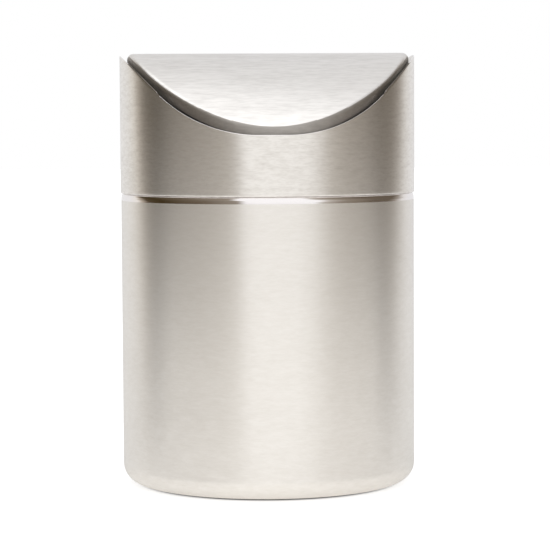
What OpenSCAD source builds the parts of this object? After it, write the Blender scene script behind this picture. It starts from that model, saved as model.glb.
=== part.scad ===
// Countertop trash can with a swing lid, in brushed stainless sheet steel.
// Millimetres. +Z is up and the origin is on the table under the centre of the body.
// The swept front of the lid faces -Y, and the flap swings about a hinge line along X.

/* [Body] */
// Outside diameter of the body wall
body_d = 119.6; // [110:0.1:130]
// Height of the seam between body and lid above the table
seam_h = 118.9; // [90:0.1:150]
// Thickness of the sheet steel
sheet_t = 0.5; // [0.4:0.05:0.7]
// Outside radius of the rounded bottom edge
corner_r = 7.8; // [6:0.1:11]
// Outside radius of the polished shoulder under the seam
shoulder_r = 3.0; // [2.6:0.1:4]
// Height of the neck that stands up inside the lid
neck_h = 12; // [10:0.5:16]
// Outside radius of the curl along the mouth
curl_r = 1.3; // [1.1:0.1:1.8]
// Width of the flat lip that turns in under the body
lip_w = 3; // [2:0.5:6]

/* [Base] */
// Width of the flat rim of the base pan inside the lip
pan_flat_w = 8; // [7:0.5:12]
// Radial run of the sloped step of the base pan
pan_step_w = 5; // [3:0.5:8]
// Height that the middle of the base pan is raised by
pan_rise = 3; // [1.5:0.5:5]
// Width of the rubber foot ring
foot_w = 6; // [3:0.5:6.5]
// Height that the foot ring stands out below the metal
foot_proud = 0.6; // [0.4:0.1:1.5]

/* [Lid] */
// How far the lid stands out past the body wall, on the radius
lid_overhang = 0.2; // [0:0.05:0.6]
// Height of the lid above the seam at the lowest point of the sweep
lid_low_h = 23.8; // [20:0.1:28]
// Radius of the sweep's two sides, seen from the front
sweep_r = 54.6; // [52:0.1:60]
// Width of the flat run between them, at the bottom of the sweep
sweep_flat_w = 11.6; // [6:0.2:16]
// Angle round the lid from the front to where the sweep meets the side crest
crest_angle = 48.5; // [46:0.5:54]
// Height of the hem folded inside the lower edge
hem_h = 7; // [4:0.5:8]
// Clearance between the hem and the neck, on the radius
neck_gap = 0.25; // [0.15:0.05:0.4]

/* [Seat ring] */
// Thickness of the upright leg of the seat ring
seat_leg_t = 0.5; // [0.4:0.05:0.55]
// Width of the lip of the seat ring
seat_lip_w = 3; // [2:0.1:4]
// Thickness of the lip of the seat ring
seat_lip_t = 1.2; // [0.8:0.1:2]
// Gap between the seat ring and the curl of the body
seat_gap = 0.15; // [0.1:0.05:0.3]

/* [Flap] */
// Gap between the edge of the flap and the inside of the lid
flap_gap = 2.2; // [1.6:0.1:2.4]
// Height of the flap's ridge above the side crests
ridge_rise = 0.9; // [0.8:0.1:2]
// Radius of the crown of the flap, seen from the side
crown_r = 52; // [46:0.5:54]
// Radius of the flatter flanks that run on from the crown
flank_r = 113; // [90:1:120]
// Height of the turned-down flange round the flap
flange_h = 5; // [3.5:0.1:5.4]
// How far the flange reaches below the lid's rim at the front
flange_lap = 2.2; // [0.6:0.1:2.6]
// Side play taken up towards +X
flap_shift = 0.4; // [0:0.1:0.8]

/* [Hinge] */
// Gap between the hinge pins and the flange above them
pin_gap = 0.5; // [0.3:0.05:1]
// Diameter of the hinge pins
pin_d = 3; // [2.6:0.1:3.2]
// Running clearance between pin and bush, on the radius
pin_clearance = 0.05; // [0.02:0.01:0.1]
// Diameter of the pin's welded head
head_d = 6; // [5:0.1:6.4]
// Thickness of the pin's welded head
head_t = 0.5; // [0.4:0.05:0.6]
// Thickness of the ear plates
ear_t = 0.8; // [0.6:0.1:1]
// Width of the ear plates
ear_w = 8; // [7.6:0.1:10]
// Length of the ear's tab under the flap
ear_tab = 7; // [5:0.5:10]
// Wall of the bush round the pin
bush_wall = 0.65; // [0.5:0.05:0.8]
// Thickness of the bush's flange
bush_flange_t = 0.5; // [0.3:0.05:0.5]
// Length of the bush inside the ear
bush_nose = 0.6; // [0.3:0.1:0.8]
// End gap left between bush and cap when the play is taken up
play_end_gap = 0.3; // [0.2:0.05:0.6]
// Wall of the retaining cap round the pin
cap_wall = 1.1; // [0.8:0.1:1.4]
// Length of pin that the retaining cap grips
cap_grip = 1.1; // [0.8:0.1:1.6]
// Thickness of the retaining cap's closed end
cap_end_t = 0.5; // [0.4:0.1:1]

/* [Hidden] */
$fn = 96;
// Facets of the wide curves, so that small pieces cut by them keep their size
wide_fn = 360;
// A length added to cutters so that they pass right through
through = 1;

steel = [0.79, 0.78, 0.76];
bright_steel = [0.86, 0.86, 0.85];
black_rubber = [0.09, 0.09, 0.09];
black_plastic = [0.13, 0.13, 0.14];
white_nylon = [0.91, 0.90, 0.86];

// Body
body_r = body_d / 2;
corner_x = body_r - corner_r;
corner_z = foot_proud + corner_r;
lip_r = corner_x - lip_w;
pan_z = foot_proud + sheet_t;

// Lid tube, neck and the shoulder that carries the hem
lid_r = body_r + lid_overhang;
lid_in_r = lid_r - sheet_t;
hem_in_r = lid_r - 2 * sheet_t;
neck_r = hem_in_r - neck_gap;
neck_top = seam_h + neck_h;
hem_top = seam_h + hem_h;
shoulder_x = body_r - shoulder_r;
fold_reach = shoulder_r + sheet_t + seat_gap;
fold_side = lid_in_r - shoulder_x;
wall_top = seam_h + sheet_t - sqrt(fold_reach * fold_reach - fold_side * fold_side);

// Rim of the lid: at front and back a flat run between two round sides, which meet a round crest smoothly
rim_low_z = seam_h + lid_low_h;
sweep_z = rim_low_z + sweep_r;
join_x = lid_r * sin(crest_angle);
join_y = lid_r * cos(crest_angle);
sweep_side = sweep_flat_w / 2;
join_reach = join_x - sweep_side;
join_fall = sqrt(sweep_r * sweep_r - join_reach * join_reach);
join_z = sweep_z - join_fall;
crest_fall = join_fall * join_x / join_reach;
crest_r = sqrt(crest_fall * crest_fall + join_y * join_y);
crest_z = join_z - crest_fall;
// The flat run is cut this far above the lowest point of the sides, so that the surfaces cross cleanly
flat_inset = 0.02;
tip_z = crest_z + crest_r;

// Flap: a crown arc that runs on into a flatter flank at front and back, down to the flange
flap_r = lid_in_r - flap_gap;
flap_in_r = flap_r - sheet_t;
ridge_z = tip_z + ridge_rise;
crown_z = ridge_z - crown_r;
edge_z = rim_low_z - flange_lap + flange_h;
edge_up = edge_z - crown_z;
edge_reach = sqrt(flap_r * flap_r + edge_up * edge_up);
flank_drop = flank_r - crown_r;
// The flank's centre lies flank_drop from the crown's and flank_r from the flap's edge
flank_square = edge_reach * edge_reach + flank_drop * flank_drop - flank_r * flank_r;
crown_angle = atan2(flap_r, edge_up) - 180 + acos(flank_square / (2 * edge_reach * flank_drop));
flank_x = -flank_drop * sin(crown_angle);
flank_z = crown_z - flank_drop * cos(crown_angle);
edge_angle = asin((flap_r - flank_x) / flank_r);
// The flank is drawn this many degrees past the flap's edge
flank_past = 12;
// The flank starts this far under the crown, so that the two surfaces cross cleanly
flank_inset = 0.015;

// Hinge
pin_r = pin_d / 2;
pivot_z = ridge_z - flange_h - pin_gap - pin_r;
bush_r = pin_r + pin_clearance + bush_wall;
bush_flange_r = bush_r + bush_wall;
ear_r = ear_w / 2;
ear_out = sqrt(flap_in_r * flap_in_r - ear_r * ear_r) - bush_flange_t;
ear_in = ear_out - ear_t;
bush_in = ear_in - bush_nose;
cap_out = bush_in - flap_shift - play_end_gap;
pin_end = cap_out - cap_grip;
head_in = lid_in_r - head_t;
cap_r = pin_r + cap_wall;
ear_bend = 2 * ear_t;

// A sector of a ring, from angle a1 to angle a2, with a2 less than 180 degrees on from a1
module ring_sector(outer, inner, a1, a2) {
    reach = 2 * outer;
    mid = (a1 + a2) / 2;
    intersection() {
        difference() {
            circle(r = outer);
            circle(r = inner);
        }
        polygon([[0, 0], reach * [cos(a1), sin(a1)], reach * [cos(mid), sin(mid)],
                 reach * [cos(a2), sin(a2)]]);
    }
}

// Section of the body: lip, corner, wall, shoulder, neck and curl in one sheet
module body_section() {
    translate([lip_r, foot_proud]) square([corner_x - lip_r, sheet_t]);
    translate([corner_x, corner_z]) ring_sector(corner_r, corner_r - sheet_t, 270, 360);
    translate([body_r - sheet_t, corner_z]) square([sheet_t, wall_top - corner_z]);
    intersection() {
        translate([shoulder_x, wall_top]) ring_sector(shoulder_r, shoulder_r - sheet_t, 0, 90);
        translate([neck_r - sheet_t, wall_top]) square([body_r - neck_r + sheet_t, shoulder_r]);
    }
    difference() {
        translate([neck_r - sheet_t, wall_top]) square([sheet_t, neck_top - curl_r - wall_top]);
        translate([shoulder_x, wall_top]) circle(r = shoulder_r - sheet_t);
    }
    translate([neck_r - curl_r, neck_top - curl_r]) {
        ring_sector(curl_r, curl_r - sheet_t, 0, 150);
        ring_sector(curl_r, curl_r - sheet_t, 150, 285);
    }
}

module body_shell() {
    color(steel) rotate_extrude() body_section();
}

module base_pan() {
    flat_in = lip_r - pan_flat_w;
    rise_in = flat_in - pan_step_w;
    color(steel) rotate_extrude()
        polygon([[corner_x, pan_z], [corner_x, pan_z + sheet_t], [flat_in, pan_z + sheet_t],
                 [rise_in, pan_z + pan_rise + sheet_t], [0, pan_z + pan_rise + sheet_t],
                 [0, pan_z + pan_rise], [rise_in, pan_z + pan_rise], [flat_in, pan_z]]);
}

module foot_ring() {
    foot_out = lip_r - (pan_flat_w - foot_w) / 2;
    color(black_rubber) difference() {
        cylinder(r = foot_out, h = pan_z);
        translate([0, 0, -through]) cylinder(r = foot_out - foot_w, h = pan_z + 2 * through);
    }
}

// Section of the lid tube with its hem folded inside the lower edge
module lid_section() {
    translate([lid_in_r, seam_h + sheet_t]) square([sheet_t, tip_z + through - seam_h]);
    translate([hem_in_r, seam_h + sheet_t]) square([sheet_t, hem_h - sheet_t]);
    translate([lid_in_r, seam_h + sheet_t]) intersection() {
        circle(r = sheet_t);
        translate([-sheet_t, -sheet_t]) square([2 * sheet_t, sheet_t]);
    }
}

// Everything under the side crests, and everything under the height where the sweep takes over
module crest_limit() {
    wide = 2 * (lid_r + through);
    translate([-wide / 2, -wide / 2, 0]) cube([wide, wide, join_z]);
    translate([-wide / 2, 0, crest_z]) rotate([0, 90, 0]) cylinder(r = crest_r, h = wide, $fn = wide_fn);
}

module lid_collar() {
    color(steel) difference() {
        intersection() {
            rotate_extrude() lid_section();
            crest_limit();
        }
        sweep_cutter();
    }
}

module sweep_cutter() {
    long = 2 * (lid_r + through);
    for (side = [-1, 1]) translate([side * sweep_side, long / 2, sweep_z]) rotate([90, 0, 0])
        cylinder(r = sweep_r, h = long, $fn = wide_fn);
    translate([-sweep_side, -long / 2, rim_low_z + flat_inset]) cube([sweep_flat_w, long, sweep_r]);
}

module seat_ring() {
    lip_z = neck_top + seat_gap;
    color(black_plastic) rotate_extrude() {
        translate([lid_in_r - seat_leg_t, hem_top]) square([seat_leg_t, lip_z + seat_lip_t - hem_top]);
        translate([lid_in_r - seat_lip_w, lip_z]) square([seat_lip_w, seat_lip_t]);
    }
}

// Area under the flap's arch, seen from the side, taken in by depth.
// The crown's full circle lies inside both flank circles, so only its top shows in the outline.
module arch_area(depth) {
    translate([0, crown_z]) circle(r = crown_r - depth);
    for (side = [0, 1]) mirror([side, 0])
        translate([flank_x, flank_z])
            ring_sector(flank_r - flank_inset - depth, 0, 90 - edge_angle - flank_past, 90 - crown_angle);
}

module arch_block(depth) {
    wide = 2 * (flap_r + through);
    translate([-wide / 2, 0, 0]) rotate([90, 0, 90]) linear_extrude(height = wide) arch_area(depth);
}

module flap_shell() {
    bottom = edge_z - flange_h - through;
    tall = ridge_z - bottom + through;
    color(steel) translate([flap_shift, 0, 0]) {
        difference() {
            intersection() {
                translate([0, 0, bottom]) cylinder(r = flap_r, h = tall);
                arch_block(0);
            }
            intersection() {
                translate([0, 0, bottom - through]) cylinder(r = flap_in_r, h = tall + 2 * through);
                arch_block(sheet_t);
            }
            translate([0, 0, -flange_h]) arch_block(0);
        }
    }
}

// An ear is drawn for the +X side and mirrored for the other
module flap_ear() {
    top = ridge_z;
    color(bright_steel) intersection() {
        union() {
            difference() {
                translate([ear_in, 0, 0]) rotate([90, 0, 90]) linear_extrude(height = ear_t) {
                    translate([0, pivot_z]) circle(r = ear_r);
                    translate([-ear_r, pivot_z]) square([ear_w, top - pivot_z]);
                }
                translate([ear_in - through, 0, pivot_z]) rotate([0, 90, 0])
                    cylinder(r = bush_r, h = ear_t + 2 * through);
            }
            translate([ear_in - ear_tab, -ear_r, top - sheet_t - ear_bend])
                cube([ear_tab, ear_w, ear_bend]);
        }
        difference() {
            arch_block(sheet_t, $fn = wide_fn);
            translate([ear_in - ear_tab - through, -ear_r - through, 0])
                cube([ear_tab + through, ear_w + 2 * through, top - sheet_t - ear_bend]);
        }
    }
}

// A hinge pin on the +X side, its head shaped to the inside of the lid
module hinge_pin() {
    color(bright_steel) intersection() {
        cylinder(r = lid_in_r, h = tip_z, $fn = wide_fn);
        translate([0, 0, pivot_z]) rotate([0, 90, 0]) {
            translate([0, 0, pin_end]) cylinder(r = pin_r, h = lid_r - pin_end);
            translate([0, 0, head_in]) cylinder(r = head_d / 2, h = lid_r - head_in);
        }
    }
}

module retaining_cap() {
    color(bright_steel) translate([0, 0, pivot_z]) rotate([0, 90, 0]) difference() {
        translate([0, 0, pin_end - cap_end_t]) cylinder(r = cap_r, h = cap_grip + cap_end_t);
        translate([0, 0, pin_end]) cylinder(r = pin_r, h = cap_grip + through);
    }
}

module bush() {
    color(white_nylon) translate([0, 0, pivot_z]) rotate([0, 90, 0]) difference() {
        union() {
            translate([0, 0, bush_in]) cylinder(r = bush_r, h = ear_out - bush_in);
            translate([0, 0, ear_out]) cylinder(r = bush_flange_r, h = bush_flange_t);
        }
        translate([0, 0, bush_in - through])
            cylinder(r = pin_r + pin_clearance, h = ear_out + bush_flange_t - bush_in + 2 * through);
    }
}

// Puts a piece drawn on the +X side on the right or the left, with the flap's side play
module on_side(right, play = 0) {
    translate([play, 0, 0]) mirror([right ? 0 : 1, 0, 0]) children();
}

body_shell();
base_pan();
foot_ring();
lid_collar();
seat_ring();
on_side(false) hinge_pin();  // hinge_pin_left
on_side(true) hinge_pin();  // hinge_pin_right
on_side(false) retaining_cap();  // retaining_cap_left
on_side(true) retaining_cap();  // retaining_cap_right
flap_shell();
on_side(false, flap_shift) flap_ear();  // flap_ear_left
on_side(true, flap_shift) flap_ear();  // flap_ear_right
on_side(false, flap_shift) bush();  // bush_left
on_side(true, flap_shift) bush();  // bush_right
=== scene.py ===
"""Dresses the countertop trash can: brushed steel body, swept lid and domed swing flap.

All lengths are metres in the CAD's frame: +Z up, -Y towards the swept front of the lid, X along the hinge.
"""

from __future__ import annotations

import logging
import math
from dataclasses import dataclass
from enum import Enum

import bmesh
import bpy
import numpy as np
from mathutils import Matrix, Vector

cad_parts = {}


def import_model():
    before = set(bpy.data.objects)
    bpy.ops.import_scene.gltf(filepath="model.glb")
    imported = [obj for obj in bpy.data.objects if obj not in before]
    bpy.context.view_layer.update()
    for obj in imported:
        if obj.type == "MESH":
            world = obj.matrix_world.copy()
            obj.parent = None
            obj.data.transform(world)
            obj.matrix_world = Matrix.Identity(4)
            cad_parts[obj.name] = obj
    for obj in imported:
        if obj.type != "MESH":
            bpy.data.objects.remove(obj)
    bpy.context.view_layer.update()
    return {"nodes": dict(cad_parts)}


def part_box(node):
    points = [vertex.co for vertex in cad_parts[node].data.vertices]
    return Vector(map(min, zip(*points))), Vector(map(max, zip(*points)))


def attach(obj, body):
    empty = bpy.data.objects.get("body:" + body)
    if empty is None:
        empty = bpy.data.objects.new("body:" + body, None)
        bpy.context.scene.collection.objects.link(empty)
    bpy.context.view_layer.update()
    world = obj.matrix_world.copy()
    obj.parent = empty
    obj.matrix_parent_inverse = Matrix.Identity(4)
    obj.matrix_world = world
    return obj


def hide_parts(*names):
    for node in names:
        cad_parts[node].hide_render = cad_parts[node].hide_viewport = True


LOG = logging.getLogger("trash_can")
MM = 0.001
FULL_TURN = 2.0 * math.pi
NOISE_MIDDLE = 0.5
BLACK = (0.0, 0.0, 0.0)
WHITE = (1.0, 1.0, 1.0)

# Points nearer than this are one point, and an edge shorter than the second value has no length
SAME_POINT = 1e-7
NO_LENGTH = 1e-8

Array = np.ndarray
Object = bpy.types.Object
Material = bpy.types.Material
Point = tuple[float, float]
Triple = tuple[float, float, float]


class Grain(Enum):
    """The way that a sheet was brushed."""

    AROUND = "around the can"
    ALONG_HINGE = "along the hinge line"


# Cells per metre of the fine, the broad and the cloudy noise, all stretched along the brushing
GRAIN_CELLS = {
    Grain.AROUND: ((520.0, 520.0, 2000.0), (190.0, 190.0, 760.0), (14.0, 14.0, 60.0)),
    Grain.ALONG_HINGE: ((300.0, 1500.0, 1500.0), (120.0, 640.0, 640.0), (34.0, 110.0, 110.0)),
}


# Shader graphs


class Channel:
    """One value in a shader graph. Python arithmetic on it adds Math nodes."""

    def __init__(self, graph: "Graph", socket: bpy.types.NodeSocket) -> None:
        """Wraps an output socket.

        Args:
            graph: The graph that the socket belongs to.
            socket: The output that gives the value.
        """
        self.graph = graph
        self.socket = socket

    def _math(self, operation: str, first: object, second: object) -> "Channel":
        """Adds one Math node.

        Args:
            operation: The node's operation.
            first: Its first value or channel.
            second: Its second value or channel.

        Returns:
            The result as a channel.
        """
        node = self.graph.node("ShaderNodeMath", {"operation": operation}, {0: first, 1: second})
        return Channel(self.graph, node.outputs[0])

    def __add__(self, other: object) -> "Channel":
        """Adds a value."""
        return self._math("ADD", self, other)

    def __sub__(self, other: object) -> "Channel":
        """Takes a value away."""
        return self._math("SUBTRACT", self, other)

    def __rsub__(self, other: object) -> "Channel":
        """Is taken from a value."""
        return self._math("SUBTRACT", other, self)

    def __mul__(self, other: object) -> "Channel":
        """Multiplies by a value."""
        return self._math("MULTIPLY", self, other)

    def __truediv__(self, other: object) -> "Channel":
        """Divides by a value."""
        return self._math("DIVIDE", self, other)

    def __pow__(self, other: object) -> "Channel":
        """Is raised to a power."""
        return self._math("POWER", self, other)

    def clamp(self) -> "Channel":
        """Keeps the value between 0 and 1."""
        node = self.graph.node("ShaderNodeClamp", {}, {"Value": self})
        return Channel(self.graph, node.outputs[0])

    def ramp(self, low: float, high: float) -> "Channel":
        """Rises smoothly from 0 at low to 1 at high.

        Args:
            low: The value below which the result is 0.
            high: The value above which the result is 1.

        Returns:
            The smoothed channel.
        """
        sockets = {"Value": self, "From Min": low, "From Max": high, "To Min": 0.0, "To Max": 1.0}
        node = self.graph.node("ShaderNodeMapRange", {"interpolation_type": "SMOOTHSTEP"}, sockets)
        return Channel(self.graph, node.outputs[0])


class Graph:
    """A material's or world's node tree, filled through one method."""

    def __init__(self, tree: bpy.types.NodeTree) -> None:
        """Empties a node tree and takes it over.

        Args:
            tree: The tree of a material or a world.
        """
        self.tree = tree
        tree.nodes.clear()

    def node(self, kind: str, settings: dict[str, object], sockets: dict[object, object]) -> bpy.types.Node:
        """Adds one node.

        Args:
            kind: Blender's name of the node type.
            settings: Attributes that are set first. A ramp's "stops" are (position, colour) pairs.
            sockets: Values or links of its inputs, by name or index.

        Returns:
            The node.
        """
        node = self.tree.nodes.new(kind)
        for name, value in settings.items():
            if name == "stops":
                self._set_stops(node, value)
            else:
                setattr(node, name, value)
        for name, value in sockets.items():
            socket = node.inputs[name]
            if isinstance(value, Channel):
                self.tree.links.new(value.socket, socket)
            elif isinstance(value, bpy.types.NodeSocket):
                self.tree.links.new(value, socket)
            else:
                socket.default_value = value
        return node

    @staticmethod
    def _set_stops(node: bpy.types.Node, stops: list[tuple[float, Triple]]) -> None:
        """Writes a colour ramp's stops.

        Args:
            node: The ColorRamp node.
            stops: Positions from 0 to 1 in rising order, each with its linear colour.
        """
        elements = node.color_ramp.elements
        while len(elements) > 1:
            elements.remove(elements[-1])
        elements[0].position = stops[0][0]
        elements[0].color = (*stops[0][1], 1.0)
        for position, colour in stops[1:]:
            elements.new(position).color = (*colour, 1.0)

    def channel(
        self, kind: str, settings: dict[str, object], sockets: dict[object, object], output: object
    ) -> Channel:
        """Adds a node and wraps one of its outputs.

        Args:
            kind: Blender's name of the node type.
            settings: Attributes that are set first.
            sockets: Values or links of its inputs.
            output: Name or index of the output.

        Returns:
            The output as a channel.
        """
        return Channel(self, self.node(kind, settings, sockets).outputs[output])

    def coordinates(self) -> tuple[Channel, Channel, Channel]:
        """Gives the Object coordinates along X, Y and Z."""
        place = self.node("ShaderNodeTexCoord", {}, {}).outputs["Object"]
        parts = self.node("ShaderNodeSeparateXYZ", {}, {0: place})
        x, y, z = (Channel(self, output) for output in parts.outputs)
        return x, y, z

    def noise(self, scale: Triple, detail: float = 2.0) -> Channel:
        """Gives stretched noise from 0 to 1 on Object coordinates.

        Args:
            scale: Pattern cells per metre along X, Y and Z.
            detail: Octaves of finer noise.

        Returns:
            The noise value.
        """
        stretch = {"Vector": self.node("ShaderNodeTexCoord", {}, {}).outputs["Object"], "Scale": scale}
        place = self.channel("ShaderNodeMapping", {"vector_type": "POINT"}, stretch, 0)
        sockets = {"Vector": place, "Scale": 1.0, "Detail": detail}
        return self.channel("ShaderNodeTexNoise", {"noise_dimensions": "3D"}, sockets, 0)

    def tint(self, base: Triple, other: object, share: Channel) -> Channel:
        """Mixes two colours.

        Args:
            base: Linear colour where share is 0.
            other: Linear colour, or a channel that gives one, where share is 1.
            share: How much of the other colour shows.

        Returns:
            The mixed colour.
        """
        # Indices of the Mix node's colour inputs and colour output
        first, second, mixed = 6, 7, 2
        end = other if isinstance(other, Channel) else (*other, 1.0)
        sockets = {"Factor": share, first: (*base, 1.0), second: end}
        return self.channel("ShaderNodeMix", {"data_type": "RGBA"}, sockets, mixed)

    def bump(self, height: Channel, depth: float) -> Channel:
        """Turns a height into a shading normal.

        Args:
            height: Height from 0 to 1.
            depth: Real height of 1, in metres.

        Returns:
            The normal.
        """
        return self.channel("ShaderNodeBump", {}, {"Height": height, "Distance": depth, "Strength": 1.0}, 0)


def new_material(name: str) -> tuple[Material, Graph]:
    """Makes an empty node material.

    Args:
        name: The material's name.

    Returns:
        The material and its graph.
    """
    material = bpy.data.materials.new(name)
    material.use_nodes = True
    return material, Graph(material.node_tree)


def finish_surface(graph: Graph, sockets: dict[object, object]) -> None:
    """Adds the Principled shader and the material output.

    Args:
        graph: The material's graph.
        sockets: Values or links of the shader's inputs.
    """
    shader = graph.node("ShaderNodeBsdfPrincipled", {}, sockets)
    graph.node("ShaderNodeOutputMaterial", {}, {"Surface": shader.outputs[0]})


# Finishes


@dataclass(frozen=True)
class BrushedSheet:
    """Stainless sheet with a satin brushed grain.

    The grain is noise stretched along the brushing. Its broad and fine lines and its clouds move the tone
    between colour and dark and the roughness a little, and its height roughens the normal. Round the can the
    shader's own anisotropy, turned by a quarter, spreads reflections across the lines.
    """

    name: str
    grain: Grain
    colour: Triple = (0.87, 0.845, 0.81)
    dark: Triple = (0.79, 0.76, 0.715)
    roughness: float = 0.38
    anisotropy: float = 0.8
    streaks: float = 1.0
    clouds: float = 0.3
    worn: float = 0.3
    broad_lines: float = 0.9
    fine_lines: float = 0.7
    rough_lines: float = 0.1
    rough_clouds: float = 0.05
    quarter_turn: float = 0.25
    depth: float = 0.004 * MM

    def build(self) -> Material:
        """Makes the material.

        Returns:
            The brushed steel material.
        """
        material, graph = new_material(self.name)
        fine, broad, cloud = (graph.noise(cells) for cells in GRAIN_CELLS[self.grain])
        lines = (broad - NOISE_MIDDLE) * self.broad_lines + (fine - NOISE_MIDDLE) * self.fine_lines
        drift = cloud - NOISE_MIDDLE
        share = (lines * self.streaks + drift * self.clouds + self.worn).clamp()
        rough = lines * self.rough_lines + drift * self.rough_clouds + self.roughness
        finish_surface(
            graph,
            {
                "Base Color": graph.tint(self.colour, self.dark, share),
                "Metallic": 1.0,
                "Roughness": rough.clamp(),
                "Anisotropic": self.anisotropy if self.grain is Grain.AROUND else 0.0,
                "Anisotropic Rotation": self.quarter_turn,
                "Normal": graph.bump(fine * 0.5 + broad * 0.5, self.depth),
            },
        )
        return material


@dataclass(frozen=True)
class PolishedSheet:
    """The bright buffed steel of the shoulder, rims, pins and ears."""

    name: str
    colour: Triple = (0.96, 0.935, 0.94)
    hazy: Triple = (0.84, 0.815, 0.82)
    hazy_share: float = 0.5
    roughness: float = 0.09
    rough_haze: float = 0.08
    rough_rub: float = 0.04
    haze_cells: Triple = (90.0, 90.0, 900.0)
    rub_cells: Triple = (300.0, 300.0, 300.0)
    haze_detail: float = 3.0
    depth: float = 0.002 * MM

    def build(self) -> Material:
        """Makes the material.

        Returns:
            The polished steel material.
        """
        material, graph = new_material(self.name)
        haze = graph.noise(self.haze_cells, self.haze_detail)
        rub = graph.noise(self.rub_cells)
        uneven = (haze - NOISE_MIDDLE) * self.rough_haze + (rub - NOISE_MIDDLE) * self.rough_rub
        rough = uneven + self.roughness
        finish_surface(
            graph,
            {
                "Base Color": graph.tint(self.colour, self.hazy, (haze * self.hazy_share).clamp()),
                "Metallic": 1.0,
                "Roughness": rough.clamp(),
                "Normal": graph.bump(haze, self.depth),
            },
        )
        return material


@dataclass(frozen=True)
class Moulded:
    """A moulded plastic or rubber with a fine grain and a little bloom."""

    name: str
    colour: Triple
    bloom: Triple
    roughness: float
    grain_depth: float
    grain_cells: Triple = (2400.0, 2400.0, 2400.0)
    cloud_cells: Triple = (70.0, 70.0, 70.0)
    detail: float = 3.0
    bloom_clouds: float = 0.7
    bloom_grain: float = 0.2
    bloom_least: float = 0.1
    rough_clouds: float = 0.15

    def build(self) -> Material:
        """Makes the material.

        Returns:
            The moulded material.
        """
        material, graph = new_material(self.name)
        grain = graph.noise(self.grain_cells, self.detail)
        cloud = graph.noise(self.cloud_cells, self.detail)
        share = cloud * self.bloom_clouds + grain * self.bloom_grain - self.bloom_least
        rough = (cloud - NOISE_MIDDLE) * self.rough_clouds + self.roughness
        finish_surface(
            graph,
            {
                "Base Color": graph.tint(self.colour, self.bloom, share.clamp()),
                "Roughness": rough.clamp(),
                "Normal": graph.bump(grain, self.grain_depth),
            },
        )
        return material


# Surfaces


def arc(centre: Point, radius: float, start: float, end: float, count: int) -> Array:
    """Gives points on an arc: centre + radius * (cos a, sin a), with a running evenly from start to end.

    Args:
        centre: Centre in the profile's plane.
        radius: Radius of the arc.
        start: First angle in degrees.
        end: Last angle in degrees.
        count: Number of points.

    Returns:
        The points, one row each.
    """
    angle = np.radians(np.linspace(start, end, count))
    return np.stack([centre[0] + radius * np.cos(angle), centre[1] + radius * np.sin(angle)], axis=1)


def line(first: Point, last: Point, count: int) -> Array:
    """Gives evenly spaced points from first to last, both included.

    Args:
        first: First point.
        last: Last point.
        count: Number of points.

    Returns:
        The points, one row each.
    """
    share = np.linspace(0.0, 1.0, count)[:, None]
    return (1.0 - share) * np.array(first) + share * np.array(last)


def joined(*runs: Array) -> Array:
    """Joins runs of profile points and drops a point that repeats the one before it.

    Args:
        runs: Runs of points in order.

    Returns:
        One run of distinct points.
    """
    points = np.concatenate(runs)
    keep = np.ones(len(points), dtype=bool)
    keep[1:] = np.hypot(*(points[1:] - points[:-1]).T) > SAME_POINT
    return points[keep]


def sheet_outline(path: Array, thickness: float) -> Array:
    """Gives the closed outline of a sheet whose middle runs along a path.

    The two faces are path + normal * thickness / 2 and path - normal * thickness / 2. Each end is closed by a
    half circle of the same half thickness.

    Args:
        path: Points of the middle of the sheet.
        thickness: Thickness of the sheet.

    Returns:
        The outline, one row a point, without a repeated last point.
    """
    along = np.gradient(path, axis=0)
    along /= np.hypot(*along.T)[:, None]
    normal = np.stack([along[:, 1], -along[:, 0]], axis=1)
    half = thickness / 2.0
    end_points = 7
    turn = np.radians(np.linspace(90.0, -90.0, end_points)[1:-1])[:, None]
    last = path[-1] + half * (np.sin(turn) * normal[-1] + np.cos(turn) * along[-1])
    first = path[0] + half * (np.sin(-turn) * normal[0] - np.cos(turn) * along[0])
    return np.concatenate([path + half * normal, last, (path - half * normal)[::-1], first])


def grid_mesh(name: str, points: Array, closed_rows: bool) -> Object:
    """Makes a mesh of quads over a grid of points that closes on itself round the can.

    Point (i, j) is joined to (i + 1, j) and (i, j + 1). Columns wrap round the can. Rows wrap too if the
    outline is closed.

    Args:
        name: Name of the piece.
        points: Array of rows by columns by 3.
        closed_rows: Whether the last row joins the first.

    Returns:
        The smooth-shaded object at the origin.
    """
    rows, columns = points.shape[:2]
    index = np.arange(rows * columns).reshape(rows, columns)
    below = index if closed_rows else index[:-1]
    above = np.roll(index, -1, axis=0) if closed_rows else index[1:]
    corners = [below, np.roll(below, -1, axis=1), np.roll(above, -1, axis=1), above]
    quads = np.stack(corners, axis=2).reshape(-1, 4)
    mesh = bpy.data.meshes.new(name)
    mesh.from_pydata(points.reshape(-1, 3), [], quads.tolist())
    tidy_mesh(mesh)
    piece = bpy.data.objects.new(name, mesh)
    bpy.context.scene.collection.objects.link(piece)
    return piece


def tidy_mesh(mesh: bpy.types.Mesh) -> None:
    """Merges doubled points, drops faces without area, turns all faces outwards and shades them smooth.

    Args:
        mesh: The mesh to tidy.
    """
    work = bmesh.new()
    work.from_mesh(mesh)
    bmesh.ops.remove_doubles(work, verts=work.verts, dist=SAME_POINT)
    bmesh.ops.dissolve_degenerate(work, edges=work.edges, dist=NO_LENGTH)
    bmesh.ops.recalc_face_normals(work, faces=work.faces)
    work.to_mesh(mesh)
    work.free()
    mesh.polygons.foreach_set("use_smooth", np.ones(len(mesh.polygons), dtype=bool))
    mesh.update()


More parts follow.
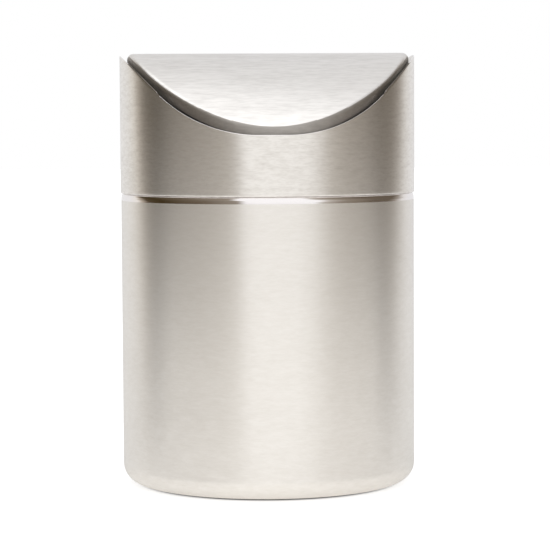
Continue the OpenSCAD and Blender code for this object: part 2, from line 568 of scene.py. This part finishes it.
def revolve(outline: Array, columns: int) -> Array:
    """Turns a closed outline round Z: (r cos a, r sin a, z) for evenly spaced angles a.

    Args:
        outline: Rows of (r, z).
        columns: Number of angles.

    Returns:
        Array of rows by columns by 3.
    """
    angle = np.linspace(0.0, FULL_TURN, columns, endpoint=False)
    radius, height = outline[:, :1], outline[:, 1:]
    ones = np.ones_like(angle)[None, :]
    return np.stack([radius * np.cos(angle), radius * np.sin(angle), height * ones], axis=2)


def paint_faces(piece: Object, materials: list[Material], choice: Array | None = None) -> None:
    """Gives each face of a piece one of several materials.

    Args:
        piece: The piece.
        materials: Its materials in slot order.
        choice: Slot number of each face, if there is more than one material.
    """
    piece.data.materials.clear()
    for material in materials:
        piece.data.materials.append(material)
    if choice is not None:
        piece.data.polygons.foreach_set("material_index", choice.astype(np.int32))
    piece.data.update()


def face_centres(piece: Object) -> Array:
    """Gives the centre of each face.

    Args:
        piece: The piece.

    Returns:
        One row of x, y and z a face.
    """
    centres = np.empty(len(piece.data.polygons) * 3)
    piece.data.polygons.foreach_get("center", centres)
    return centres.reshape(-1, 3)


# Sub-assemblies


class Shop:
    """The finishes that the sub-assemblies share."""

    def __init__(self) -> None:
        """Builds every finish once."""
        self.around = BrushedSheet("brushed_around", Grain.AROUND).build()
        self.collar = BrushedSheet(
            "brushed_collar",
            Grain.AROUND,
            dark=(0.71, 0.68, 0.64),
            roughness=0.33,
            anisotropy=0.9,
            streaks=1.8,
        ).build()
        self.along = BrushedSheet(
            "brushed_along_hinge",
            Grain.ALONG_HINGE,
            colour=(0.83, 0.81, 0.79),
            dark=(0.67, 0.65, 0.63),
            roughness=0.34,
            streaks=1.6,
            clouds=0.8,
            depth=0.02 * MM,
        ).build()
        # Painted shade: the flange is the flap's own steel, darkened in colour to paint shade on its
        # turned-down face; only its higher roughness is its own
        self.flange = BrushedSheet(
            "brushed_flange_painted_shade",
            Grain.ALONG_HINGE,
            colour=(0.48, 0.455, 0.43),
            dark=(0.37, 0.35, 0.33),
            roughness=0.5,
            streaks=1.4,
            depth=0.01 * MM,
        ).build()
        # Partly real, partly painted shade: a cut edge is rougher, but its very dark colour paints shade on
        # the rim where it sits beside the flap's flange
        self.cut = BrushedSheet(
            "cut_edge_and_painted_shade",
            Grain.ALONG_HINGE,
            colour=(0.25, 0.225, 0.20),
            dark=(0.18, 0.16, 0.14),
            roughness=0.55,
        ).build()
        self.polished = PolishedSheet("polished_edge").build()
        self.rubber = Moulded(
            "foot_rubber", (0.018, 0.018, 0.018), (0.05, 0.05, 0.048), roughness=0.72, grain_depth=0.02 * MM
        ).build()
        self.black_plastic = Moulded(
            "seat_plastic", (0.02, 0.02, 0.022), (0.045, 0.045, 0.045), roughness=0.5, grain_depth=0.01 * MM
        ).build()
        self.nylon = Moulded(
            "bush_nylon", (0.82, 0.80, 0.74), (0.74, 0.72, 0.66), roughness=0.42, grain_depth=0.006 * MM
        ).build()


@dataclass
class Can:
    """The body that stands on the worktop: wall, base pan and foot ring."""

    wall_r: float = 59.8 * MM
    sheet: float = 0.5 * MM
    foot_proud: float = 0.6 * MM
    corner_r: float = 7.8 * MM
    shoulder_r: float = 3.0 * MM
    shoulder_z: float = 116.944 * MM
    polish_z: float = 116.1 * MM
    neck_r: float = 58.75 * MM
    neck_top: float = 130.9 * MM
    neck_start: float = 0.3 * MM
    curl_r: float = 1.3 * MM
    curl_turn: float = 280.0
    lip_w: float = 3.0 * MM
    pan_flat: float = 8.0 * MM
    pan_step: float = 5.0 * MM
    pan_rise: float = 3.0 * MM
    pan_ease_in: float = 2.0 * MM
    pan_ease_out: float = 1.0 * MM
    pan_middle_r: float = 0.05 * MM
    pan_sheet_share: float = 0.98
    foot_w: float = 6.0 * MM
    foot_soft_r: float = 0.4 * MM
    columns: int = 320
    pan_columns: int = 160
    foot_columns: int = 200

    def wall_path(self) -> Array:
        """Gives the middle of the wall's sheet as lines and arcs.

        They are the lip, the bottom corner, the wall below and above the start of the polish, the shoulder,
        the neck and the curl.

        Returns:
            Rows of (r, z) from the lip's inner edge to the end of the curl.
        """
        half = self.sheet / 2.0
        corner_x = self.wall_r - self.corner_r
        corner_z = self.foot_proud + self.corner_r
        lip_z = self.foot_proud + half
        shoulder_x = self.wall_r - self.shoulder_r
        middle_r = self.neck_r - half
        bend = math.degrees(math.acos((middle_r - shoulder_x) / (self.shoulder_r - half)))
        meet_z = self.shoulder_z + (self.shoulder_r - half) * math.sin(math.radians(bend))
        curl_x, curl_z = self.neck_r - self.curl_r, self.neck_top - self.curl_r
        return joined(
            line((corner_x - self.lip_w + half, lip_z), (corner_x, lip_z), count=5),
            arc((corner_x, corner_z), self.corner_r - half, -90.0, 0.0, count=24),
            line((self.wall_r - half, corner_z), (self.wall_r - half, self.polish_z), count=30),
            line((self.wall_r - half, self.polish_z), (self.wall_r - half, self.shoulder_z), count=4),
            arc((shoulder_x, self.shoulder_z), self.shoulder_r - half, 0.0, bend, count=14),
            line((middle_r, meet_z + self.neck_start), (middle_r, curl_z), count=8),
            arc((curl_x, curl_z), self.curl_r - half, 0.0, self.curl_turn, count=24),
        )

    def build(self, shop: Shop) -> list[Object]:
        """Builds the can's pieces and puts them on its body.

        Args:
            shop: The shared finishes.

        Returns:
            The pieces.
        """
        wall = grid_mesh("can_wall", revolve(sheet_outline(self.wall_path(), self.sheet), self.columns), True)
        height = face_centres(wall)[:, 2]
        paint_faces(wall, [shop.around, shop.polished], height > self.polish_z)
        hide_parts("body_shell")
        pan = grid_mesh("can_base_pan", revolve(self.pan_outline(), self.pan_columns), True)
        paint_faces(pan, [shop.around])
        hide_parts("base_pan")
        foot = grid_mesh("can_foot_ring", revolve(self.foot_outline(), self.foot_columns), True)
        paint_faces(foot, [shop.rubber])
        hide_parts("foot_ring")
        for piece, slot in ((wall, "brushed_sheet"), (pan, "brushed_sheet"), (foot, "foot_rubber")):
            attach(piece, "can")
        return [wall, pan, foot]

    def pan_outline(self) -> Array:
        """Gives the base pan's sheet: a raised middle, an eased step and a flat rim.

        Returns:
            Rows of (r, z) of the closed outline.
        """
        half = self.sheet / 2.0
        base = self.foot_proud + self.sheet + half
        rim = self.wall_r - self.corner_r
        flat_in = rim - self.lip_w - self.pan_flat
        step_in = flat_in - self.pan_step
        high = (step_in - self.pan_ease_in, base + self.pan_rise)
        low = (flat_in + self.pan_ease_out, base)
        path = joined(
            line((self.pan_middle_r, high[1]), high, count=20),
            self.eased(high, low, count=16),
            line(low, (rim, base), count=8),
        )
        return sheet_outline(path, self.sheet * self.pan_sheet_share)

    @staticmethod
    def eased(first: Point, last: Point, count: int) -> Array:
        """Gives an S-shaped step: even in r, and in z by 3 s squared minus 2 s cubed.

        Args:
            first: First point.
            last: Last point.
            count: Number of points.

        Returns:
            Rows of (r, z).
        """
        share = np.linspace(0.0, 1.0, count)
        rise = share * share * (3.0 - 2.0 * share)
        radius = first[0] + (last[0] - first[0]) * share
        height = first[1] + (last[1] - first[1]) * rise
        return np.stack([radius, height], axis=1)

    def foot_outline(self) -> Array:
        """Gives the foot ring's section: a rectangle with rounded lower corners.

        Returns:
            Rows of (r, z) of the closed outline.
        """
        outer = self.wall_r - self.corner_r - self.lip_w - (self.pan_flat - self.foot_w) / 2.0
        inner = outer - self.foot_w
        top = self.foot_proud + self.sheet
        soft = self.foot_soft_r
        return joined(
            arc((outer - soft, soft), soft, -90.0, 0.0, count=6),
            line((outer, soft), (outer, top), count=3),
            line((outer, top), (inner, top), count=5),
            line((inner, top), (inner, soft), count=3),
            arc((inner + soft, soft), soft, 180.0, 270.0, count=6),
            line((inner + soft, 0.0), (outer - soft, 0.0), count=5)[1:-1],
        )


@dataclass
class Lid:
    """The lift-off lid: swept collar with its hem, and seat ring. Its pins and caps are with the hardware."""

    outer_r: float = 60.0 * MM
    sheet: float = 0.5 * MM
    seam_z: float = 118.9 * MM
    low_h: float = 23.8 * MM
    sweep_r: float = 54.6 * MM
    flat_half: float = 5.8 * MM
    crest_angle: float = 48.5
    hem_h: float = 7.0 * MM
    hem_slit: float = 0.04 * MM
    hem_soft: float = 0.2 * MM
    edge_depth: float = 0.15 * MM
    cut_edge_shade_past_join: float = 1.0 * MM
    cut_edge_shade_off_hinge: float = 20.0 * MM
    columns: int = 360
    wall_rows: int = 48
    edge_rows: int = 9
    seat_columns: int = 240

    def rim_height(self, x: Array, y: Array) -> Array:
        """Gives the rim's height over a point of the tube.

        In front and at the back it is the sweep, low + R - sqrt(R^2 - u^2), where u is how far x lies outside
        the flat run. Past the join it is the side crest, centre + sqrt(r^2 - y^2), tangent to the sweep where
        they meet.

        Args:
            x: Coordinates along the hinge line.
            y: Coordinates across it.

        Returns:
            The heights.
        """
        low = self.seam_z + self.low_h
        join_x = self.outer_r * math.sin(math.radians(self.crest_angle))
        join_y = self.outer_r * math.cos(math.radians(self.crest_angle))
        fall = math.sqrt(self.sweep_r**2 - (join_x - self.flat_half) ** 2)
        join_z = low + self.sweep_r - fall
        crest_fall = fall * join_x / (join_x - self.flat_half)
        crest_r = math.hypot(crest_fall, join_y)
        out = np.maximum(np.abs(x) - self.flat_half, 0.0)
        sweep = low + self.sweep_r - np.sqrt(np.maximum(self.sweep_r**2 - out**2, 0.0))
        crest = join_z - crest_fall + np.sqrt(np.maximum(crest_r**2 - y * y, 0.0))
        return np.where(np.abs(x) * self.outer_r < join_x * np.hypot(x, y), sweep, crest)

    def collar_grid(self) -> Array:
        """Gives the collar's surface on a grid of angle and place along the sheet.

        The rows go up the outside, over the edge, down the inside and round the hem to the fold. A row of a
        wall is a radius and a share of the rim's height there. The edge and the fold are half circles.

        Returns:
            Array of rows by columns by 3.
        """
        angle = np.linspace(0.0, FULL_TURN, self.columns, endpoint=False)
        half = self.sheet / 2.0
        inner_r = self.outer_r - self.sheet
        fold_z = self.seam_z + self.sheet
        rows: list[Array] = []

        def wall(radius: float, shares: Array) -> None:
            """Adds rows of one wall, from the fold up to just under the rim."""
            x, y = radius * np.cos(angle), radius * np.sin(angle)
            top = self.rim_height(x, y) - half
            for share in shares:
                rows.append(np.stack([x, y, fold_z + (top - fold_z) * share], axis=1))

        wall(self.outer_r, np.linspace(0.0, 1.0, self.wall_rows))
        for turn in np.radians(np.linspace(0.0, 180.0, self.edge_rows)[1:-1]):
            radius = inner_r + half + half * math.cos(turn)
            x, y = radius * np.cos(angle), radius * np.sin(angle)
            rows.append(np.stack([x, y, self.rim_height(x, y) - half + half * math.sin(turn)], axis=1))
        wall(inner_r, np.linspace(1.0, 0.0, self.wall_rows)[:-1])
        flat = np.ones_like(angle)
        for radius, z in self.hem_path():
            rows.append(np.stack([radius * np.cos(angle), radius * np.sin(angle), z * flat], axis=1))
        return np.stack(rows)

    def hem_path(self) -> Array:
        """Gives the hem's section: up beside the wall, over its edge, down its inner face and round the fold.

        Returns:
            Rows of (r, z).
        """
        inner_r = self.outer_r - self.sheet
        fold_in = inner_r - self.sheet
        fold_z = self.seam_z + self.sheet
        slit = inner_r - self.hem_slit
        edge_z = self.seam_z + self.hem_h - self.hem_soft
        centre = (slit + fold_in) / 2.0
        return joined(
            line((slit, fold_z), (slit, edge_z), count=8),
            arc((centre, edge_z), (slit - fold_in) / 2.0, 0.0, 180.0, count=7),
            line((fold_in, edge_z), (fold_in, fold_z), count=8),
            arc((inner_r, fold_z), self.sheet, 180.0, 360.0, count=13),
        )[:-1]

    def seat_outline(self) -> Array:
        """Gives the seat ring's L-shaped section with softened corners.

        Returns:
            Rows of (r, z) of the closed outline.
        """
        box_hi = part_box("seat_ring")[1]
        box_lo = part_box("seat_ring")[0]
        outer, top, low = box_hi[0], box_hi[2], box_lo[2]
        leg, lip_w, lip_t, soft = 0.5 * MM, 3.0 * MM, 1.2 * MM, 0.2 * MM
        return joined(
            line((outer, low), (outer, top), count=6),
            line((outer, top), (outer - lip_w + soft, top), count=6),
            arc((outer - lip_w + soft, top - soft), soft, 90.0, 180.0, count=5),
            arc((outer - lip_w + soft, top - lip_t + soft), soft, 180.0, 270.0, count=5),
            line((outer - lip_w + soft, top - lip_t), (outer - leg, top - lip_t), count=6),
            line((outer - leg, top - lip_t), (outer - leg, low), count=6),
        )

    def build(self, shop: Shop) -> list[Object]:
        """Builds the lid's pieces and puts them on its body.

        Args:
            shop: The shared finishes.

        Returns:
            The pieces.
        """
        collar = grid_mesh("lid_swept_collar", self.collar_grid(), True)
        centres = face_centres(collar)
        far_x, far_y = np.abs(centres[:, 0]), np.abs(centres[:, 1])
        edge = centres[:, 2] > self.rim_height(centres[:, 0], centres[:, 1]) - self.edge_depth
        join_x = self.outer_r * math.sin(math.radians(self.crest_angle))
        # The crest's edge faces take the dark cut-edge steel, which paints shade beside the flap's flange
        crest = edge & (far_x > join_x - self.cut_edge_shade_past_join) & (far_y > self.cut_edge_shade_off_hinge)
        paint_faces(collar, [shop.collar, shop.polished, shop.cut], np.where(crest, 2, edge))
        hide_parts("lid_collar")
        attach(collar, "lid")
        seat = grid_mesh("lid_seat_ring", revolve(self.seat_outline(), self.seat_columns), True)
        paint_faces(seat, [shop.black_plastic])
        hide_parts("seat_ring")
        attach(seat, "lid")
        return [collar, seat]


@dataclass
class Flap:
    """The domed swing flap, one pressed sheet with a flange turned down all round."""

    radius: float = 57.3 * MM
    sheet: float = 0.5 * MM
    ridge_z: float = 175.504 * MM
    crown_r: float = 52.0 * MM
    flank_r: float = 113.0 * MM
    flange_h: float = 5.0 * MM
    edge_z: float = 145.5 * MM
    shift: float = 0.4 * MM
    bend_r: float = 2.6 * MM
    bend_guess: float = 0.4
    bend_steps: int = 6
    root_share: float = 0.35
    even_share: float = 0.65
    least_outwards: float = 0.82
    columns: int = 320
    dome_rows: int = 64
    bend_rows: int = 10
    flange_rows: int = 7
    edge_rows: int = 7

    def arch(self, y: Array, depth: float) -> tuple[Array, Array]:
        """Gives the height and slope of the arch, seen from the side.

        The crown is the circle z = c + sqrt(r^2 - y^2). It goes on, with the same slope, as a flatter circle
        through the flap's edge. The cosine rule in the triangle of both centres and the edge gives the angle
        where they meet.

        Args:
            y: Coordinates across the hinge line.
            depth: How far under the outer face, along the normal.

        Returns:
            Heights and slopes dz/dy.
        """
        crown_z = self.ridge_z - self.crown_r
        up, drop = self.edge_z - crown_z, self.flank_r - self.crown_r
        reach_sq = self.radius**2 + up**2
        turn = math.acos((reach_sq + drop**2 - self.flank_r**2) / (2.0 * math.sqrt(reach_sq) * drop))
        lean = math.atan2(self.radius, up) - math.pi + turn
        flank_y, flank_z = -drop * math.sin(lean), crown_z - drop * math.cos(lean)
        least_sq = 1e-12
        far = np.abs(y)
        on_crown = far < (self.crown_r - depth) * math.sin(lean)
        radius = np.where(on_crown, self.crown_r, self.flank_r) - depth
        centre_y = np.where(on_crown, 0.0, flank_y)
        centre_z = np.where(on_crown, crown_z, flank_z)
        reach = np.sqrt(np.maximum(radius**2 - (far - centre_y) ** 2, least_sq))
        return centre_z + reach, -np.sign(y) * (far - centre_y) / reach

    def skin(self, edge_r: float, bend: float, depth: float, low: Array, angle: Array) -> list[Array]:
        """Gives one face of the sheet from the middle of the dome to the bottom of the flange.

        The dome is the arch over polar points, on radii that mix even steps with their square roots.
        Near the edge it turns down on a bend: from the point where its radial slope angle is s, which a few
        steps find, the bend is edge - b + b sin f outwards and z + b (cos f - cos s) down, for f from s to 90
        degrees. The flange then runs straight down.

        Args:
            edge_r: Radius of the flange's face.
            bend: Radius of the bend in this face.
            depth: How far the face lies under the outer one.
            low: Height of the flange's lower end at each angle.
            angle: Angles round the flap.

        Returns:
            Rows of points.
        """
        cosine, sine = np.cos(angle), np.sin(angle)
        start = np.full_like(angle, edge_r - self.bend_guess * bend)
        for _ in range(self.bend_steps):
            _, slope = self.arch(start * sine, depth)
            lean = np.arctan(np.maximum(-slope * sine, 0.0))
            start = edge_r - bend + bend * np.sin(lean)
        top, _ = self.arch(start * sine, depth)
        rows: list[Array] = []
        even = np.linspace(0.0, 1.0, self.dome_rows)
        for share in np.sqrt(even) * self.root_share + even * self.even_share:
            radius = start * share
            height, _ = self.arch(radius * sine, depth)
            rows.append(np.stack([radius * cosine, radius * sine, height], axis=1))
        for share in np.linspace(0.0, 1.0, self.bend_rows)[1:]:
            fold = lean + (math.pi / 2.0 - lean) * share
            radius = edge_r - bend + bend * np.sin(fold)
            height = top + bend * (np.cos(fold) - np.cos(lean))
            rows.append(np.stack([radius * cosine, radius * sine, height], axis=1))
        bottom = rows[-1][:, 2]
        for share in np.linspace(0.0, 1.0, self.flange_rows)[1:]:
            height = bottom + (low - bottom) * share
            rows.append(np.stack([edge_r * cosine, edge_r * sine, height], axis=1))
        return rows

    def grid(self) -> Array:
        """Gives the whole flap as one closed surface: outer face, rounded lower edge and inner face.

        Returns:
            Array of rows by columns by 3.
        """
        angle = np.linspace(0.0, FULL_TURN, self.columns, endpoint=False)
        half = self.sheet / 2.0
        rim, _ = self.arch(self.radius * np.sin(angle), 0.0)
        low = rim - self.flange_h + half
        outer = self.skin(self.radius, self.bend_r, 0.0, low, angle)
        inner = self.skin(self.radius - self.sheet, self.bend_r - self.sheet, self.sheet, low, angle)
        edge: list[Array] = []
        for turn in np.radians(np.linspace(0.0, 180.0, self.edge_rows)[1:-1]):
            radius = self.radius - half + half * math.cos(turn)
            height = low - half * math.sin(turn)
            edge.append(np.stack([radius * np.cos(angle), radius * np.sin(angle), height], axis=1))
        points = np.stack(outer + edge + inner[::-1])
        points[:, :, 0] += self.shift
        return points

    def on_flange(self, shell: Object) -> Array:
        """Picks the faces of the flange: those that look mostly outwards.

        Args:
            shell: The flap.

        Returns:
            Whether each face lies on the flange.
        """
        centres = face_centres(shell) - np.array([self.shift, 0.0, 0.0])
        normals = np.empty(len(shell.data.polygons) * 3)
        shell.data.polygons.foreach_get("normal", normals)
        reach = np.hypot(centres[:, 0], centres[:, 1])
        outwards = (normals.reshape(-1, 3)[:, :2] * centres[:, :2]).sum(axis=1) / reach
        return outwards > self.least_outwards

    def build(self, shop: Shop) -> list[Object]:
        """Builds the flap and puts it on its body.

        Args:
            shop: The shared finishes.

        Returns:
            The pieces.
        """
        shell = grid_mesh("flap_domed_shell", self.grid(), False)
        # The flange faces take the darkened steel, which is painted shade
        paint_faces(shell, [shop.along, shop.flange], self.on_flange(shell))
        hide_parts("flap_shell")
        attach(shell, "flap")
        return [shell]


@dataclass
class Hardware:
    """The small CAD pieces of the hinge, kept as they are and given their finishes."""

    polished: tuple[str, ...] = (
        "hinge_pin_left",
        "hinge_pin_right",
        "retaining_cap_left",
        "retaining_cap_right",
        "flap_ear_left",
        "flap_ear_right",
    )
    nylon: tuple[str, ...] = ("bush_left", "bush_right")

    def build(self, shop: Shop, nodes: dict[str, Object]) -> list[Object]:
        """Gives each small piece its finish.

        Args:
            shop: The shared finishes.
            nodes: The CAD nodes by name.

        Returns:
            The pieces.
        """
        pieces = []
        for names, material in ((self.polished, shop.polished), (self.nylon, shop.nylon)):
            for name in names:
                piece = nodes[name]
                for slot in piece.material_slots:
                    slot.material = material
                pieces.append(piece)
        return pieces


# Studio


@dataclass
class Camera:
    """The photograph's camera: standing nearly level, a little to the left of the lid's front."""

    distance: float = 0.956
    height: float = 0.1491
    turned: float = 0.044
    tilt: float = 0.0671
    roll: float = 0.0054
    pan: float = 0.003
    lens: float = 152.7
    sensor: float = 36.0
    clip: Point = (0.01, 50.0)

    def build(self) -> None:
        """Makes the camera.

        Its place is (0, -distance, height) turned about Z. Its axes are the level axes, tilted down, rolled
        about the line of sight and turned about Z by the turn and the pan.
        """
        data = bpy.data.cameras.new("camera")
        data.lens = self.lens
        data.sensor_width = self.sensor
        data.clip_start, data.clip_end = self.clip
        camera = bpy.data.objects.new("camera", data)
        ahead = Vector((0.0, math.cos(self.tilt), -math.sin(self.tilt)))
        above = Vector((0.0, math.sin(self.tilt), math.cos(self.tilt)))
        beside = Vector((1.0, 0.0, 0.0))
        right = beside * math.cos(self.roll) - above * math.sin(self.roll)
        up = beside * math.sin(self.roll) + above * math.cos(self.roll)
        back = Matrix.Rotation(-self.turned - self.pan, 3, "Z")
        axes = [back @ right, back @ up, back @ -ahead]
        place = Matrix.Rotation(-self.turned, 3, "Z") @ Vector((0.0, -self.distance, self.height))
        camera.matrix_world = Matrix.Translation(place) @ Matrix(axes).transposed().to_4x4()
        bpy.context.scene.collection.objects.link(camera)
        bpy.context.scene.camera = camera


@dataclass(frozen=True)
class Leans:
    """How the tent's bands change over its height and round it.

    A turn is a share of the full circle. A span is the two coordinates between which a smooth ramp rises.
    """

    top_span: Point = (0.16, 0.28)
    top_turn: float = 0.054
    top_left_span: Point = (-0.34, -0.2)
    top_left_cut: float = 0.03
    top_back_span: Point = (-0.1, 0.1)
    top_right_span: Point = (0.1, 0.3)
    top_right_cut: float = 0.06
    foot_span: Point = (0.07, 0.13)
    foot_right_span: Point = (0.0, 0.1)
    foot_right_turn: float = 0.04
    foot_left_span: Point = (-0.34, -0.22)
    foot_left_turn: float = 0.03
    dim_span: Point = (0.08, 0.11)
    dim_front_span: Point = (-0.3, -0.1)
    dim_share: float = 0.38

    def at(self, x: Channel, y: Channel, z: Channel) -> tuple[Channel, Channel]:
        """Gives what the bands do at a point of the tent.

        High up they shift forwards, most at the far left, and backwards behind the right side. Low down they
        shift backwards at the far left and forwards on the right, and low down in front they are dimmer.

        Args:
            x: Coordinate along the hinge line.
            y: Coordinate across it.
            z: Height.

        Returns:
            The shift in turns and the share of light that is left.
        """
        top_right = y.ramp(*self.top_back_span) * x.ramp(*self.top_right_span) * self.top_right_cut
        top = self.top_turn - x.ramp(*self.top_left_span) * self.top_left_cut - top_right
        foot_right = x.ramp(*self.foot_right_span) * self.foot_right_turn
        foot_left = x.ramp(*self.foot_left_span) * self.foot_left_turn
        foot = foot_right + foot_left - self.foot_left_turn
        shift = z.ramp(*self.top_span) * top + (1.0 - z.ramp(*self.foot_span)) * foot
        low_front = (1.0 - z.ramp(*self.dim_span)) * (1.0 - y.ramp(*self.dim_front_span))
        return shift, 1.0 - low_front * self.dim_share


@dataclass
class Studio:
    """A plain white worktop in a white room, a banded tent that only reflections see, and one soft lamp.

    The bands give the tent's tone by bearing, in degrees from the front, rising towards the right. The
    worktop glows for the camera and in reflections; painted shade dims that glow behind the can, and a
    painted contact shadow takes it away under the can.
    """

    floor_r: float = 6.0
    floor_grey: float = 0.6
    floor_tint: Triple = (1.0, 0.972, 0.93)
    floor_seen: float = 0.66
    floor_mirrored: float = 0.67
    floor_back_shade_span: Point = (-0.09, 0.05)
    floor_back_painted_shade: float = 0.58
    contact_shadow_span: Point = (0.0495, 0.0545)
    lamp_size: Point = (1.5, 1.15)
    lamp_power: float = 3.65
    lamp_place: Triple = (-0.32, -0.17, 1.5)
    lamp_aim: Triple = (0.0, 0.0, 0.1)
    room: float = 0.84
    tent_r: float = 0.365
    tent_low: float = 0.048
    tent_high: float = 0.62
    tent_columns: int = 128
    leans: Leans = Leans()
    bands: tuple[tuple[float, Triple], ...] = (
        (-180.0, (0.84, 0.84, 0.85)),
        (-132.0, (0.84, 0.83, 0.82)),
        (-119.5, (0.84, 0.80, 0.74)),
        (-113.5, (0.45, 0.385, 0.31)),
        (-105.0, (0.075, 0.054, 0.03)),
        (-87.0, (0.05, 0.034, 0.014)),
        (-74.0, (0.09, 0.067, 0.04)),
        (-48.0, (0.158, 0.125, 0.088)),
        (-37.0, (0.22, 0.184, 0.14)),
        (-23.5, (0.30, 0.26, 0.21)),
        (-17.5, (1.03, 1.02, 1.01)),
        (35.5, (1.03, 1.02, 1.01)),
        (43.5, (0.50, 0.455, 0.40)),
        (58.0, (0.265, 0.226, 0.18)),
        (71.0, (0.205, 0.17, 0.13)),
        (85.0, (0.135, 0.108, 0.08)),
        (104.0, (0.13, 0.104, 0.075)),
        (113.0, (0.32, 0.28, 0.24)),
        (124.0, (0.76, 0.74, 0.71)),
        (135.0, (0.82, 0.81, 0.81)),
        (180.0, (0.84, 0.84, 0.85)),
    )

    def build(self) -> None:
        """Makes the floor, the room, the tent and the soft light, and sets the view transform."""
        self.make_room()
        self.make_tent()
        self.make_floor()
        self.make_softbox()
        bpy.context.scene.view_settings.view_transform = "Standard"

    def make_room(self) -> None:
        """Makes the world: an even pale grey room that the camera sees as white."""
        world = bpy.data.worlds.new("room")
        bpy.context.scene.world = world
        world.use_nodes = True
        graph = Graph(world.node_tree)
        path = graph.node("ShaderNodeLightPath", {}, {})
        level = Channel(graph, path.outputs["Is Camera Ray"]) * (1.0 - self.room) + self.room
        background = graph.node("ShaderNodeBackground", {}, {"Color": (*WHITE, 1.0), "Strength": level})
        graph.node("ShaderNodeOutputWorld", {}, {"Surface": background.outputs[0]})

    def make_tent(self) -> None:
        """Stands a round tent of dark flags and soft boxes about the can, which only reflections see.

        It is a tube open at the top and just above the worktop. The bearing from the front, as a share of the
        full circle and shifted by the leans, picks the tone from a ramp that has the front at its middle.
        """
        edges = np.array([(self.tent_r, self.tent_low), (self.tent_r, self.tent_high)])
        tent = grid_mesh("tent", revolve(edges, self.tent_columns), False)
        tent.visible_camera = tent.visible_diffuse = tent.visible_shadow = False
        material, graph = new_material("tent_bands")
        x, y, z = graph.coordinates()
        angle_sockets = {0: x, 1: y * -1.0}
        bearing = graph.channel("ShaderNodeMath", {"operation": "ARCTAN2"}, angle_sockets, 0) / FULL_TURN
        shift, level = self.leans.at(x, y, z)
        front = 0.5
        stops = [(front + degrees / 360.0, tone) for degrees, tone in self.bands]
        bands = graph.channel("ShaderNodeValToRGB", {"stops": stops}, {"Fac": bearing + shift + front}, 0)
        glow = graph.node("ShaderNodeEmission", {}, {"Color": graph.tint(BLACK, bands, level)})
        graph.node("ShaderNodeOutputMaterial", {}, {"Surface": glow.outputs[0]})
        tent.data.materials.append(material)

    def make_floor(self) -> None:
        """Makes a pale worktop that meets the white room without an edge.

        It is a grey that the lamp lights and the can shades, with a glow for the camera and, warmer, for
        reflections. The glow is cut under the can as a painted contact shadow, and in reflections it is
        dimmed behind the can as painted shade.
        """
        size = self.floor_r
        corners = [(-size, -size, 0.0), (size, -size, 0.0), (size, size, 0.0), (-size, size, 0.0)]
        mesh = bpy.data.meshes.new("worktop")
        mesh.from_pydata(corners, [], [tuple(range(len(corners)))])
        floor = bpy.data.objects.new("worktop", mesh)
        bpy.context.scene.collection.objects.link(floor)
        material, graph = new_material("white_worktop")
        path = graph.node("ShaderNodeLightPath", {}, {})
        x, y, _ = graph.coordinates()
        # Painted contact shadow: the glow fades to nothing under the can's edge
        outside_contact_shadow = ((x * x + y * y) ** 0.5).ramp(*self.contact_shadow_span)
        # Painted shade: reflections see less of the glow behind the can
        front = 1.0 - y.ramp(*self.floor_back_shade_span) * self.floor_back_painted_shade
        camera = Channel(graph, path.outputs["Is Camera Ray"])
        mirrored = Channel(graph, path.outputs["Is Glossy Ray"]) * front * self.floor_mirrored
        seen = (camera * self.floor_seen + mirrored) * outside_contact_shadow
        tone = graph.tint(BLACK, graph.tint(self.floor_tint, WHITE, camera), seen)
        grey = (self.floor_grey, self.floor_grey, self.floor_grey, 1.0)
        diffuse = graph.node("ShaderNodeBsdfDiffuse", {}, {"Color": grey})
        glow = graph.node("ShaderNodeEmission", {}, {"Color": tone})
        both = graph.node("ShaderNodeAddShader", {}, {0: diffuse.outputs[0], 1: glow.outputs[0]})
        graph.node("ShaderNodeOutputMaterial", {}, {"Surface": both.outputs[0]})
        floor.data.materials.append(material)

    def make_softbox(self) -> None:
        """Hangs one large soft lamp over the front of the worktop."""
        data = bpy.data.lights.new("softbox", "AREA")
        data.shape = "RECTANGLE"
        data.size, data.size_y = self.lamp_size
        data.energy = self.lamp_power
        lamp = bpy.data.objects.new("softbox", data)
        lamp.location = self.lamp_place
        lamp.rotation_euler = (Vector(self.lamp_aim) - lamp.location).to_track_quat("-Z", "Y").to_euler()
        bpy.context.scene.collection.objects.link(lamp)


def main() -> None:
    """Loads the frame, builds each sub-assembly and the studio, and reports every piece."""
    logging.basicConfig(level=logging.INFO, format="%(name)s: %(message)s")
    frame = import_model()
    Camera().build()
    shop = Shop()
    pieces = Can().build(shop) + Lid().build(shop) + Flap().build(shop)
    pieces += Hardware().build(shop, frame["nodes"])
    Studio().build()
    for piece in pieces:
        LOG.info("%s: %d faces", piece.name, len(piece.data.polygons))


if __name__ == "__main__":
    main()
